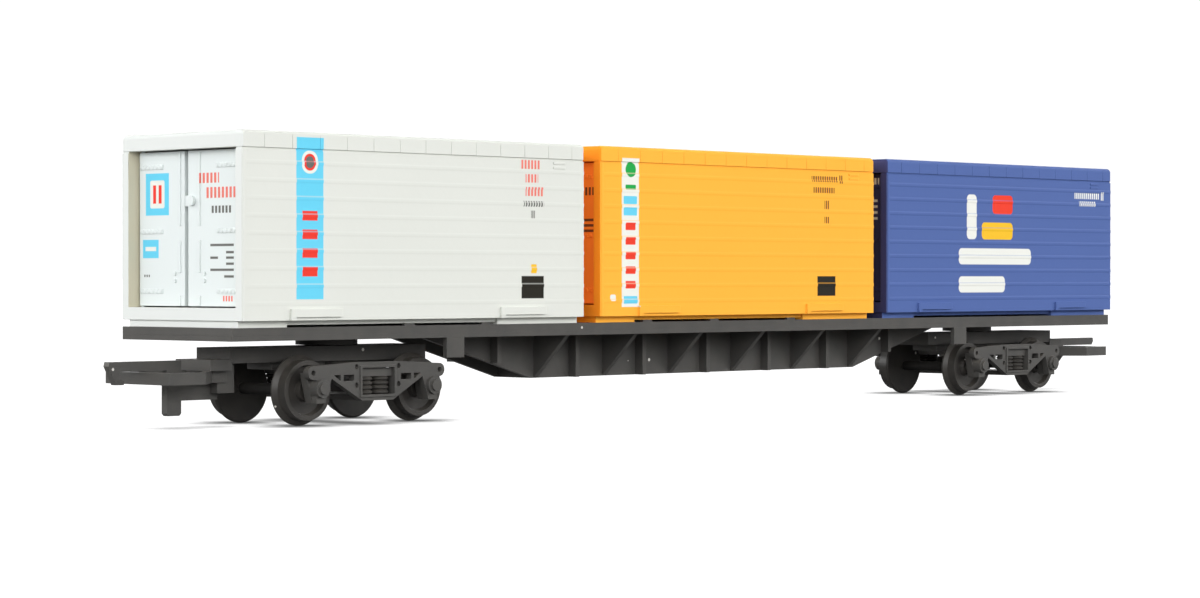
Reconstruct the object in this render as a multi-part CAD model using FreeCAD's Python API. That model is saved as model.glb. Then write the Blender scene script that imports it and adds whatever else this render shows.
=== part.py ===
import FreeCAD, Part
import os

# OO-scale model bogie flat wagon with three 20 ft containers, in millimetres.
# +X runs along the wagon, +Z is up, z = 0 is the plane the wheel flanges stand
# on, and the origin is below the middle of the deck.

V = FreeCAD.Vector
X, Y, Z = V(1, 0, 0), V(0, 1, 0), V(0, 0, 1)

# --- Fits and gaps -----------------------------------------------------------
RUN_FIT = 0.06              # radial clearance of a turning pin or axle
TURN_GAP = 0.15             # between flat faces that turn past each other
LID_FIT = 0.1               # between a container's walls and its lid's rim
DOOR_GAP = 0.25             # above and below a door leaf
HINGE_GAP = 0.3             # between a door's hinge edge and the post
MEETING_GAP = 0.95          # between the two leaves
LATCH_GAP = 0.15            # between the latch's tongue and the other leaf
LUG_FIT = 0.1               # between the deck's lugs and the containers' plinths

# --- Containers (own frame: door end at x = 0, underside of the walls at z = 0) ---
BOX_LENGTH, BOX_WIDTH, BOX_HEIGHT = 80.0, 32.0, 31.3
BOX_SPACING = 4.2
BOX_COLOURS = ("white", "orange", "blue")
WALL = 1.2
PLINTH_HEIGHT, PLINTH_INSET = 1.15, 2.1
STRIP_HEIGHT = 0.75                     # the plinth between its two pads
PAD_DOOR, PAD_CLOSED = 10.8, 20.6       # how far the pads reach from the two ends
PAD_END, PAD_INSET = 0.4, 1.6           # pads stand in from the ends and the sides
BAND_HEIGHT, BAND_GROOVE = 2.8, 0.35    # roof's edge band and the groove under it
LID_RIM = 1.5                           # how far the lid's rim reaches into the box
SEAM_FIRST, SEAM_PITCH, SEAM_CUT = 4.7, 6.0, 0.08
ROOF_RADIUS, CORNER_RADIUS = 0.8, 0.5
BEAD_FIRST, BEAD_PITCH = 5.2, 2.91      # BEAD_FIRST is below the roof's top
BEAD_HEIGHT, BEAD_SLOPE, BEAD_PROUD, END_PROUD = 0.85, 0.25, 0.12, 0.1
POCKET_PLACE, POCKET_LENGTH, POCKET_HEIGHT, POCKET_PROUD = 24.2, 11.2, 1.9, 0.47
SLIT_START, SLIT_HEIGHT = 1.1, 0.55     # the slit under a fork pocket's cover
VENT_COUNT, VENT_INSET, VENT_DROP, VENT_LENGTH, VENT_PITCH = 3, 6.5, 3.4, 3.0, 0.8
POST_WIDTH, POST_DEPTH, SILL_HEIGHT = 1.75, 0.8, 2.1
DOOR_RECESS, DOOR_WALL, DOOR_PIN_R, DOOR_PIN = 1.9, 1.2, 0.35, 0.9
MEETING_PLACE = 0.9         # the leaves meet this far from the middle, on the far side
STRAP_MARGIN, STRAP_SHARE = 2.75, 0.48  # top and bottom straps, and the middle one's place
STRAP_LENGTH, STRAP_WIDTH, STRAP_PROUD = 6.2, 0.8, 0.15
BAR_PLACE, BAR_WIDTH, BAR_PROUD = 2.6, 0.5, 0.2
BAR_ENDS = ((0.3, -0.8), (3.1, -1.6), (0.9, -0.5))   # each bar ends off its two levels
STUD_PLACE, STUD_LEVELS, STUD_R, STUD_PROUD = 3.9, (4.5, 5.7), 0.35, 0.25
LATCH_DROP, LATCH_HEIGHT, LATCH_PLACE, LATCH_R, LATCH_PROUD = 8.6, 1.8, 0.75, 0.85, 0.6

# --- Deck and centre sill ----------------------------------------------------
DECK_REACH, DECK_INSET = 1.0, 1.45      # beyond the end boxes, and in from their sides
DECK_LENGTH = 3 * BOX_LENGTH + 2 * BOX_SPACING + 2 * DECK_REACH
DECK_WIDTH = BOX_WIDTH - 2 * DECK_INSET
DECK_TOP = 16.8
DECK_PLATE = 1.3
RIM_DEPTH, RIM_WALL = 2.2, 1.2
TAB_OUT = (-0.5, 3.9)                   # from the tabs' middles in to the sill's two ends
TAB_LENGTH, TAB_DROP, TAB_WALL = 4.2, 3.5, 0.95
LUGS = ((0, 38.2), (0, 56.7), (1, 14.2), (1, 33.0), (1, 55.7))  # container, from its doors
LUG_LENGTH, LUG_HEIGHT = 2.4, 0.4
WEB_OUT, WEB_WALL = 4.8, 0.9            # outer face and thickness of a sill web
SILL_BOTTOM, SILL_PLATE = 6.6, 0.9
SILL_INSET, SILL_SLOPE = 50.6, 27.7     # from the deck's end, and the sloping ends' length
SILL_LENGTH = DECK_LENGTH - 2 * SILL_INSET
SILL_FLAT = SILL_LENGTH - 2 * SILL_SLOPE
GUSSET_COUNT, GUSSET_PITCH = 6, 18.26
GUSSET_WALL, GUSSET_INSET = 1.0, 1.35   # the tip stands in from the deck's edge
RIB_WALL, RIB_REACH = 0.9, 1.9
RIB_PLACES = (0.0, 18.26, 36.5, 56.8)   # on both sides of the middle

# --- Bogies (own frame: centre at the origin, the wagon's end toward -X) -----
BOGIE_INSET = 32.8                      # from the deck's end to the bogie's centre
WHEELBASE = 25.6
WHEEL_R, TREAD_R = 6.0, 5.2             # over the flange, and the tread
WHEEL_BACK = 7.25                       # half the distance between the wheels' backs
FLANGE_WALL, WHEEL_WIDTH = 0.85, 2.85
RIM_R, HUB_R, FACE_DEPTH = 4.3, 1.9, 1.1
AXLE_R, JOURNAL_R, JOURNAL_END = 1.0, 0.8, 11.9
SIDE_IN, SIDE_OUT = 12.2, 13.5          # the sideframe plate's two faces
BOSS_R, BOSS_Z, BOSS_PROUD, CAP_R, CAP_PROUD = 1.55, 6.4, 0.7, 1.0, 0.45
LEG_IN, LEG_TOP_HALF, LEG_FOOT_HALF = 10.6, 2.2, 0.9
SIDE_TOP, SIDE_TOP_HALF = 10.7, 4.9
EAR_X, EAR_Z, EAR_R, EAR_HOLE_R = 14.45, 9.05, 1.15, 0.45
FOOT_Z, FOOT_HALF, HORN_HALF, HORN_Z = 3.9, 0.95, 2.4, 8.0   # axlebox, about its axle
BELLY_Z, BELLY_HALF = 4.1, 3.5
WINDOW_HALF, WINDOW_LOW, WINDOW_HIGH = 3.7, 5.1, 9.7
SURROUND, SURROUND_PROUD = 0.4, 0.25    # raised edging of the window
RIVET_X, RIVET_LEVELS, RIVET_R, RIVET_DEPTH = 4.8, (9.9, 6.8), 0.45, 0.6
SLOT_IN, SLOT_OUT, SLOT_LOW, SLOT_HIGH = 5.35, 7.75, 7.55, 8.6
NOOK_IN, NOOK_OUT = 8.4, 9.95
BOLSTER_HALF, BOLSTER_LOW, BOLSTER_END, BOLSTER_FIT = 3.0, 8.2, 13.0, 0.1
BOLSTER_TOP = 10.5          # just below the sideframes' upper edges
ARM_LOW, ARM_TOP, ARM_HALF, ARM_OUT, ARM_IN = 11.4, 13.3, 4.4, 25.0, 19.5
ARM_DEEP = 10.7             # underside of the arm from the post inward
SPINE_HALF, SPINE_REACH, SPINE_LOW = 3.2, 15.0, 9.4   # the rib under the arm
PIVOT_BOSS_R = 5.3
KINGPIN_R, KINGPIN_HEAD_R, KINGPIN_HEAD = 1.5, 2.4, 0.9
SPRING_R, SPRING_WIRE, SPRING_COILS, SPRING_GAP, SPRING_Y = 1.75, 0.4, 4, 0.2, 11.5

# --- Couplings (x counted outward from the bogie's centre) -------------------
POST_IN, POST_OUT, POST_HALF = 22.6, 24.6, 2.6
LOOP_LOW, LOOP_HIGH, LOOP_BAR, LOOP_HALF = 7.5, 9.5, 1.3, 8.5
LOOP_REAR, LOOP_TURN, LOOP_FRONT = 27.6, 33.3, 40.9   # LOOP_TURN ends the straight sides
HOOK_SLOT = 1.2                         # depth of the slot the hook rises into
SHANK_HALF = 3.0
CLAMP_HALF, CLAMP_END = 4.6, 29.3
CHEEK_END, CHEEK_LOW, CHEEK_HIGH = 26.2, 5.7, 7.5
HOOK_HALF, HOOK_ARM = 0.7, 1.6          # half thickness, and the high arm's depth
HOOK_TOP, HOOK_END = 11.3, 47.2
PIVOT_X, PIVOT_Z, PIVOT_R, EYE_R = 24.7, 6.4, 0.55, 1.0
BARB_GAP, BARB_FOOT = 3.2, 1.5          # clear of the loop's bar, and the barb's foot
LOW_ARM_FOOT, DROP_IN, DROP_WIDTH, DROP_FOOT = 4.6, 32.3, 3.0, 2.1
WHOLE = (True, False)                   # the second bogie's hook has lost its ends

DECK_UNDER = DECK_TOP - DECK_PLATE
RIM_UNDER = DECK_TOP - RIM_DEPTH
BOX_FLOOR = DECK_TOP + PLINTH_HEIGHT
AXLE_Z = WHEEL_R
SPRING_HEIGHT = BOLSTER_LOW - WINDOW_LOW


def box(xs, ys, zs):
    """A block from its spans along X, Y and Z, each given either way round."""
    (x0, x1), (y0, y1), (z0, z1) = sorted(xs), sorted(ys), sorted(zs)
    return Part.makeBox(x1 - x0, y1 - y0, z1 - z0, V(x0, y0, z0))


def rod(r, start, axis, length):
    return Part.makeCylinder(r, length, start, axis)


def fuse(shapes):
    """Join solids into one, without leftover seams."""
    return shapes[0].fuse(list(shapes[1:])).removeSplitter()


def cut(shape, tools):
    return shape.cut(Part.makeCompound(list(tools)))


def prism(points, axis, start, thick):
    """Extrude a closed outline along an axis; its points are the other two coordinates."""
    if axis is X:
        ring = [V(start, a, b) for a, b in points]
    elif axis is Y:
        ring = [V(a, start, b) for a, b in points]
    else:
        ring = [V(a, b, start) for a, b in points]
    return Part.Face(Part.makePolygon(ring + ring[:1])).extrude(axis * thick)


def mirrored(half):
    """An outline from its half at x >= 0, in order, and the mirror image."""
    return half + [(-a, b) for a, b in reversed(half)]


def box_start(i):
    """Where container i, counted from 0, has its door end."""
    return (i - 1) * (BOX_LENGTH + BOX_SPACING) - BOX_LENGTH / 2


# --- Deck and centre sill ----------------------------------------------------
def deck():
    """The plate, and on it the edge bars, hanging tabs and lugs, which stay solids of
    their own so that the space under the plate is open."""
    half, side = DECK_LENGTH / 2, DECK_WIDTH / 2
    solids = [box((-half, half), (-side, side), (DECK_UNDER, DECK_TOP))]
    solids += [box((end * half, end * (half - RIM_WALL)), (-side, side),
                   (RIM_UNDER, DECK_UNDER)) for end in (-1, 1)]
    for edge in (-1, 1):
        solids.append(box((RIM_WALL - half, half - RIM_WALL),
                          (edge * side, edge * (side - RIM_WALL)), (RIM_UNDER, DECK_UNDER)))
        for end, out in zip((-1, 1), TAB_OUT):
            x = end * (SILL_LENGTH / 2 - out)
            solids.append(box((x - TAB_LENGTH / 2, x + TAB_LENGTH / 2),
                              (edge * side, edge * (side - TAB_WALL)),
                              (RIM_UNDER - TAB_DROP, RIM_UNDER)))
        for i, along in LUGS:
            x = box_start(i) + along
            solids.append(box((x - LUG_LENGTH / 2, x + LUG_LENGTH / 2),
                              (edge * side, edge * (BOX_WIDTH / 2 - PLINTH_INSET + LUG_FIT)),
                              (DECK_TOP, DECK_TOP + LUG_HEIGHT)))
    return Part.makeCompound(solids)


def sill_bottom(x):
    """Height of the centre sill's underside at x."""
    slope = (RIM_UNDER - SILL_BOTTOM) / ((SILL_LENGTH - SILL_FLAT) / 2)
    return SILL_BOTTOM + max(0.0, abs(x) - SILL_FLAT / 2) * slope


def centre_sill():
    """Two webs and a bottom plate, closed at the ends of its level part; the sloping
    ends are open below."""
    half = [(x, sill_bottom(x)) for x in (SILL_FLAT / 2, SILL_LENGTH / 2)]
    outer = prism(mirrored(half + [(SILL_LENGTH / 2, DECK_UNDER)]), Y, -WEB_OUT, 2 * WEB_OUT)
    inner, room_end = (WEB_WALL - WEB_OUT, WEB_OUT - WEB_WALL), SILL_FLAT / 2 - WEB_WALL
    rooms = [box((-room_end, room_end), inner, (SILL_BOTTOM + SILL_PLATE, DECK_UNDER))]
    for end in (-1, 1):
        rooms.append(box((end * SILL_FLAT / 2, end * SILL_LENGTH), inner, (0, DECK_UNDER)))
    return cut(outer, rooms)


def web_plates(side):
    """The triangular gussets and the upright ribs on one side of the sill."""
    tip = side * (DECK_WIDTH / 2 - GUSSET_INSET)
    gusset = [(side * WEB_OUT, SILL_BOTTOM), (side * WEB_OUT, DECK_UNDER),
              (tip, DECK_UNDER), (tip, RIM_UNDER)]
    first = -(GUSSET_COUNT - 1) / 2 * GUSSET_PITCH
    plates = [prism(gusset, X, first + i * GUSSET_PITCH - GUSSET_WALL / 2, GUSSET_WALL)
              for i in range(GUSSET_COUNT)]
    for x in sorted({s * place for place in RIB_PLACES for s in (-1, 1)}):
        plates.append(box((x - RIB_WALL / 2, x + RIB_WALL / 2),
                          (side * WEB_OUT, side * (WEB_OUT + RIB_REACH)),
                          (sill_bottom(abs(x) + RIB_WALL / 2), DECK_UNDER)))
    return Part.makeCompound(plates)


def pivot(x):
    """The boss under the deck, with the kingpin and the head that holds a bogie up."""
    head_top = BOLSTER_LOW - TURN_GAP
    boss_low = ARM_TOP + TURN_GAP
    return fuse([rod(PIVOT_BOSS_R, V(x, 0, boss_low), Z, DECK_UNDER - boss_low),
                 rod(KINGPIN_R, V(x, 0, head_top), Z, DECK_UNDER - head_top),
                 rod(KINGPIN_HEAD_R, V(x, 0, head_top - KINGPIN_HEAD), Z, KINGPIN_HEAD)])


# --- Containers --------------------------------------------------------------
FACE = BOX_WIDTH / 2 - BEAD_PROUD               # the walls' plain outer face
INSIDE = FACE - WALL
CLOSED_END = BOX_LENGTH - END_PROUD
ROOM_END = CLOSED_END - WALL
BAND_LOW = BOX_HEIGHT - BAND_HEIGHT
WALL_TOP = BAND_LOW - BAND_GROOVE
OPENING_HALF = BOX_WIDTH / 2 - POST_WIDTH
ROOM_START = DOOR_RECESS + DOOR_WALL + DOOR_GAP
HINGE_X = DOOR_RECESS + DOOR_WALL / 2
HINGE_Y = OPENING_HALF - HINGE_GAP - DOOR_WALL / 2
BEAD_COUNT = int((BOX_HEIGHT - BEAD_FIRST - 1.5) / BEAD_PITCH) + 1
BEAD_LEVELS = [BOX_HEIGHT - BEAD_FIRST - i * BEAD_PITCH for i in range(BEAD_COUNT)]


def bead_profile(out, proud):
    """A wall's edge from the bottom up, (distance out, z), with a bead at each level."""
    edge = [(out, 0.0)]
    for z in reversed(BEAD_LEVELS):
        low, high = z - BEAD_HEIGHT / 2, z + BEAD_HEIGHT / 2
        edge += [(out, low), (out + proud, low + BEAD_SLOPE),
                 (out + proud, high - BEAD_SLOPE), (out, high)]
    return edge + [(out, WALL_TOP)]


def pin_holes(z, depth):
    """Holes for the door leaves' pins, from z up by depth."""
    return [rod(DOOR_PIN_R + RUN_FIT, V(HINGE_X, s * HINGE_Y, z), Z, depth) for s in (-1, 1)]


def rounded_ends(block, length):
    """Round the upright corners of a block at x = 0 and at x = length."""
    corners = [e for e in block.Edges if e.BoundBox.ZLength > WALL
               and (e.BoundBox.XMax < 0.01 or e.BoundBox.XMin > length - 0.01)]
    return block.makeFillet(CORNER_RADIUS, corners)


def container_shell():
    """The open box: beaded walls, floor, door posts and sill, fork pockets and vents."""
    half = BOX_WIDTH / 2
    walls = prism(mirrored(bead_profile(FACE, BEAD_PROUD)), X, POST_DEPTH,
                  CLOSED_END - CORNER_RADIUS - POST_DEPTH)
    closed_end = prism(bead_profile(CLOSED_END, END_PROUD) + [(POST_DEPTH, WALL_TOP), (POST_DEPTH, 0)],
                       Y, -FACE, 2 * FACE)
    door_frame = fuse([box((0, ROOM_START), (-FACE, FACE), (0, WALL_TOP)),
                       rounded_ends(box((0, 2 * POST_DEPTH), (-half, half), (0, WALL_TOP)),
                                    POST_DEPTH).common(
                           box((0, POST_DEPTH), (-half, half), (0, WALL_TOP)))])
    extras = []
    for side in (-1, 1):
        for s in (-1, 1):
            x = BOX_LENGTH / 2 + s * POCKET_PLACE - POCKET_LENGTH / 2
            cover = box((x, x + POCKET_LENGTH), (side * INSIDE, side * (FACE + POCKET_PROUD)),
                        (0, POCKET_HEIGHT))
            extras.append(cover.cut(box((x + SLIT_START, x + POCKET_LENGTH),
                                        (side * (FACE - 0.1), side * (half + 1)),
                                        (0, SLIT_HEIGHT))))
        vent = BOX_LENGTH - VENT_INSET
        for i in range(VENT_COUNT):
            z = BOX_HEIGHT - VENT_DROP - i * VENT_PITCH
            extras.append(box((vent - VENT_LENGTH / 2, vent + VENT_LENGTH / 2),
                              (side * INSIDE, side * (FACE + BEAD_PROUD)),
                              (z, z - VENT_PITCH / 2)))
    shape = fuse([walls, closed_end, door_frame] + extras)
    room = box((ROOM_START, ROOM_END), (-INSIDE, INSIDE), (WALL, BOX_HEIGHT))
    doorway = box((-1, ROOM_START + 1), (-OPENING_HALF, OPENING_HALF), (SILL_HEIGHT, BOX_HEIGHT))
    return cut(shape, [room, doorway] + pin_holes(SILL_HEIGHT - DOOR_PIN - DOOR_GAP, 2))


def container_roof():
    """The lid: edge band with seams, a rounded closed end and a rim inside the walls."""
    half = BOX_WIDTH / 2
    lid = box((0, BOX_LENGTH), (-half, half), (BAND_LOW, BOX_HEIGHT))
    lid = rounded_ends(lid, BOX_LENGTH)
    closed_edge = [e for e in lid.Edges if e.BoundBox.XMin > BOX_LENGTH - 0.1
                   and e.BoundBox.ZMin > BOX_HEIGHT - 0.1]
    lid = lid.makeFillet(ROOF_RADIUS, closed_edge)
    header = DOOR_RECESS + DOOR_WALL + WALL
    hollow = box((header, ROOM_END - WALL), (-INSIDE + WALL, INSIDE - WALL),
                 (BAND_LOW, BOX_HEIGHT - WALL))
    rim_side, rim_end = INSIDE - LID_FIT, ROOM_END - LID_FIT
    rim = box((header, rim_end), (-rim_side, rim_side), (BAND_LOW - LID_RIM, BAND_LOW)).cut(
        box((0, ROOM_END - WALL), (-INSIDE + WALL, INSIDE - WALL), (0, BAND_LOW)))
    neck = box((BEAD_PROUD, CLOSED_END - BEAD_PROUD), (-FACE + BEAD_PROUD, FACE - BEAD_PROUD),
               (WALL_TOP, BAND_LOW)).cut(
        box((-1, ROOM_END), (-OPENING_HALF, OPENING_HALF), (0, BAND_LOW)))
    seams = []
    for i in range(int((BOX_LENGTH - ROOF_RADIUS - SEAM_FIRST) / SEAM_PITCH) + 1):
        x = SEAM_FIRST + i * SEAM_PITCH
        ring = box((x - SEAM_CUT / 2, x + SEAM_CUT / 2), (-half, half), (BAND_LOW, BOX_HEIGHT))
        seams.append(ring.cut(box((0, BOX_LENGTH), (-half + SEAM_CUT, half - SEAM_CUT),
                                  (0, BOX_HEIGHT - SEAM_CUT))))
    return cut(fuse([lid.cut(hollow), rim, neck]), seams + pin_holes(BAND_LOW - 1, 1 + DOOR_PIN))


def container_plinth():
    """Two pads that stand on the deck and a shallower strip between them."""
    half, pad_half = BOX_WIDTH / 2 - PLINTH_INSET, BOX_WIDTH / 2 - PAD_INSET
    far = BOX_LENGTH - PAD_END
    return fuse([box((PAD_END, far), (-half, half), (-STRIP_HEIGHT, 0)),
                 box((PAD_END, PAD_DOOR), (-pad_half, pad_half), (-PLINTH_HEIGHT, 0)),
                 box((BOX_LENGTH - PAD_CLOSED, far), (-pad_half, pad_half),
                     (-PLINTH_HEIGHT, 0))])


def door_leaf(side):
    """A door leaf: round hinge edge with its pins, straps, lock bars and studs."""
    low, high = SILL_HEIGHT + DOOR_GAP, BAND_LOW - DOOR_GAP
    meet = MEETING_PLACE + side * MEETING_GAP / 2
    front = DOOR_RECESS
    overlap = DOOR_WALL / 2
    pieces = [box((front, front + DOOR_WALL), (meet, side * HINGE_Y), (low, high)),
              rod(DOOR_WALL / 2, V(HINGE_X, side * HINGE_Y, low), Z, high - low),
              rod(DOOR_PIN_R, V(HINGE_X, side * HINGE_Y, low - DOOR_PIN), Z,
                  high - low + 2 * DOOR_PIN)]
    top = BAND_LOW - STRAP_MARGIN
    bottom = SILL_HEIGHT + STRAP_MARGIN
    middle = bottom + STRAP_SHARE * (top - bottom)
    for z in (bottom, middle, top):
        pieces.append(box((front - STRAP_PROUD, front + overlap),
                          (side * HINGE_Y, side * (HINGE_Y - STRAP_LENGTH)),
                          (z - STRAP_WIDTH / 2, z + STRAP_WIDTH / 2)))
    spans = (SILL_HEIGHT, bottom), (bottom, middle), (middle, BAND_LOW)
    for (start, end), (up, down) in zip(spans, BAR_ENDS):
        pieces.append(box((front - BAR_PROUD, front + overlap),
                          (side * (BAR_PLACE - BAR_WIDTH / 2), side * (BAR_PLACE + BAR_WIDTH / 2)),
                          (start + up, end + down)))
    for level in STUD_LEVELS:
        pieces.append(rod(STUD_R, V(front + overlap, side * STUD_PLACE, SILL_HEIGHT + level), -X,
                          overlap + STUD_PROUD))
    if side < 0:
        pieces += latch(front, overlap)
    return fuse(pieces)


def latch(front, overlap):
    """The near leaf's round latch and the tongue that fills the gap to the far leaf."""
    z = BAND_LOW - LATCH_DROP
    knob = rod(LATCH_R, V(front + overlap, -LATCH_PLACE, z), -X, overlap + LATCH_PROUD)
    tongue = box((front, front + overlap), (-LATCH_PLACE, MEETING_PLACE + MEETING_GAP / 2 - LATCH_GAP),
                 (z - LATCH_HEIGHT / 2, z + LATCH_HEIGHT / 2))
    return [knob, tongue]


# --- Bogies ------------------------------------------------------------------
def wheelset(x):
    """Wheels and axle in one: a profile of (radius, y) turned about the axle."""
    back, face, soft = WHEEL_BACK, WHEEL_BACK + WHEEL_WIDTH, 0.3
    half = [(AXLE_R, back), (WHEEL_R - soft, back), (WHEEL_R, back + soft),
            (WHEEL_R, back + FLANGE_WALL - soft), (TREAD_R, back + FLANGE_WALL + soft),
            (TREAD_R - soft / 3, face), (RIM_R, face), (RIM_R - soft, face - FACE_DEPTH),
            (HUB_R, face - FACE_DEPTH), (HUB_R - soft, face - soft), (JOURNAL_R, face - soft),
            (JOURNAL_R, JOURNAL_END - JOURNAL_R / 2), (0, JOURNAL_END)]
    ring = [V(x, y, AXLE_Z + r) for r, y in half + [(r, -y) for r, y in reversed(half)]]
    return Part.Face(Part.makePolygon(ring + ring[:1])).revolve(V(x, 0, AXLE_Z), Y, 360)


def side_profile():
    """Half of the sideframe's outline, (x, z), from the top round to the belly."""
    axle = WHEELBASE / 2
    return [(SIDE_TOP_HALF, SIDE_TOP), (EAR_X, EAR_Z + EAR_R), (EAR_X + EAR_R, EAR_Z),
            (EAR_X, EAR_Z - EAR_R), (axle + FOOT_HALF, EAR_Z - EAR_R),
            (axle + FOOT_HALF, FOOT_Z), (axle - FOOT_HALF, FOOT_Z), (axle - HORN_HALF, HORN_Z), (BELLY_HALF, BELLY_Z)]


def sideframe(side):
    """A side plate with its ears, edged window, slots and rivets, the axleboxes' bosses
    and the legs behind it that carry the axles."""
    thick = SIDE_OUT - SIDE_IN
    low = min(side * SIDE_IN, side * SIDE_OUT)
    through = (low - 1, low + thick + 1)
    edging = (WINDOW_HALF + SURROUND, WINDOW_LOW - SURROUND, WINDOW_HIGH + SURROUND)
    pieces = [prism(mirrored(side_profile()), Y, low, thick),
              box((-edging[0], edging[0]), (side * SIDE_IN, side * (SIDE_OUT + SURROUND_PROUD)),
                  edging[1:])]
    cuts = [box((-WINDOW_HALF, WINDOW_HALF), through, (WINDOW_LOW, WINDOW_HIGH))]
    for s in (-1, 1):
        axle = V(s * WHEELBASE / 2, 0, AXLE_Z)
        pieces.append(rod(EAR_R, V(s * EAR_X, low, EAR_Z), Y, thick))
        boss = V(axle.x, side * SIDE_IN, BOSS_Z)
        pieces.append(rod(BOSS_R, boss, Y * side, thick + BOSS_PROUD))
        pieces.append(rod(CAP_R, boss, Y * side, thick + BOSS_PROUD + CAP_PROUD))
        leg = [(axle.x - LEG_TOP_HALF, EAR_Z), (axle.x + LEG_TOP_HALF, EAR_Z),
               (axle.x + LEG_FOOT_HALF, FOOT_Z), (axle.x - LEG_FOOT_HALF, FOOT_Z)]
        pieces.append(prism(leg, Y, min(side * LEG_IN, side * SIDE_IN), SIDE_IN - LEG_IN))
        cuts.append(rod(JOURNAL_R + RUN_FIT, axle + Y * side * LEG_IN, Y * side,
                        JOURNAL_END + TURN_GAP - LEG_IN))
        cuts.append(rod(EAR_HOLE_R, V(s * EAR_X, through[0], EAR_Z), Y, thick + 2))
        cuts += [rod(RIVET_R, V(s * RIVET_X, side * SIDE_OUT, z), Y * -side, RIVET_DEPTH)
                 for z in RIVET_LEVELS]
        cuts.append(box((s * SLOT_IN, s * SLOT_OUT), through, (SLOT_LOW, SLOT_HIGH)))
        cuts.append(prism([(s * NOOK_IN, SLOT_LOW), (s * NOOK_OUT, SLOT_HIGH),
                           (s * NOOK_IN, SLOT_HIGH)], Y, through[0], thick + 2))
    return cut(fuse(pieces), cuts)


def spring_profile():
    """Half of a coil spring's section, (radius, height): one turn above another."""
    core, turn = SPRING_R - SPRING_WIRE, SPRING_HEIGHT / SPRING_COILS
    outline = [(0.0, 0.0)]
    for i in range(SPRING_COILS):
        outline += [(core, i * turn), (SPRING_R, (i + 0.3) * turn), (SPRING_R, (i + 0.7) * turn)]
    return outline + [(core, SPRING_HEIGHT), (0.0, SPRING_HEIGHT)]


def springs(side):
    """Two coil springs standing in the sideframe's window, under the bolster's end."""
    coils = []
    for s in (-1, 1):
        x, y = s * (SPRING_R + SPRING_GAP / 2), side * SPRING_Y
        ring = [V(x + r, y, WINDOW_LOW + z) for r, z in spring_profile()]
        coils.append(Part.Face(Part.makePolygon(ring + ring[:1])).revolve(V(x, y, 0), Z, 360))
    return Part.makeCompound(coils)


def bogie_frame():
    """The bolster across the bogie, the long arm above it and the coupling's post."""
    post, half = (-POST_OUT, -POST_IN), (-POST_HALF, POST_HALF)
    cheek_in = HOOK_HALF + TURN_GAP
    solids = [box((-BOLSTER_HALF, BOLSTER_HALF), (-SIDE_IN, SIDE_IN), (BOLSTER_LOW, BOLSTER_TOP)),
              box((BOLSTER_FIT - WINDOW_HALF, WINDOW_HALF - BOLSTER_FIT),
                  (-BOLSTER_END, BOLSTER_END), (BOLSTER_LOW, WINDOW_HIGH - BOLSTER_FIT)),
              box((-ARM_OUT, ARM_IN), (-ARM_HALF, ARM_HALF), (ARM_LOW, ARM_TOP)),
              box((-POST_OUT, ARM_IN), (-ARM_HALF, ARM_HALF), (ARM_DEEP, ARM_LOW)),
              box((-SPINE_REACH, SPINE_REACH), (-SPINE_HALF, SPINE_HALF), (SPINE_LOW, ARM_LOW)),
              box((-BELLY_HALF, BELLY_HALF), (-SIDE_IN, SIDE_IN), (BELLY_Z, WINDOW_LOW)),
              box(post, half, (CHEEK_HIGH, ARM_LOW)),
              box((-CHEEK_END, -POST_IN), half, (CHEEK_LOW, CHEEK_HIGH)).cut(
                  box((-CHEEK_END, -POST_IN - 1), (-cheek_in, cheek_in), (0, CHEEK_HIGH))),
              rod(PIVOT_R, V(-PIVOT_X, -POST_HALF, PIVOT_Z), Y, 2 * POST_HALF)]
    return fuse(solids).cut(rod(KINGPIN_R + RUN_FIT, V(0, 0, 0), Z, DECK_TOP))


def loop_outline(inset):
    """The loop seen from above, (x, y), its sides and ends moved in by `inset`."""
    half, rear = LOOP_HALF - inset, SHANK_HALF - inset / 2
    corners = [(inset + LOOP_REAR, rear), (LOOP_TURN + inset / 4, half),
               (LOOP_FRONT - inset, half)]
    return [(-x, y) for x, y in corners] + [(-x, -y) for x, y in reversed(corners)]


def coupling_loop():
    """The bumper loop with its shank, slotted below for the rising hook, and the clamp
    plate in front of the post."""
    high = LOOP_HIGH - LOOP_LOW
    ring = prism(loop_outline(0), Z, LOOP_LOW, high).cut(
        prism(loop_outline(LOOP_BAR), Z, LOOP_LOW, high))
    shank = box((-LOOP_REAR, -POST_OUT), (-SHANK_HALF, SHANK_HALF), (LOOP_LOW, LOOP_HIGH))
    clamp = box((-CLAMP_END, -POST_OUT), (-CLAMP_HALF, CLAMP_HALF), (LOOP_HIGH, ARM_LOW))
    slot_half = HOOK_HALF + TURN_GAP
    slot = box((-LOOP_REAR - LOOP_BAR, -POST_OUT), (-slot_half, slot_half),
               (LOOP_LOW, LOOP_LOW + HOOK_SLOT))
    return fuse([ring, shank, clamp]).cut(slot)


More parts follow.
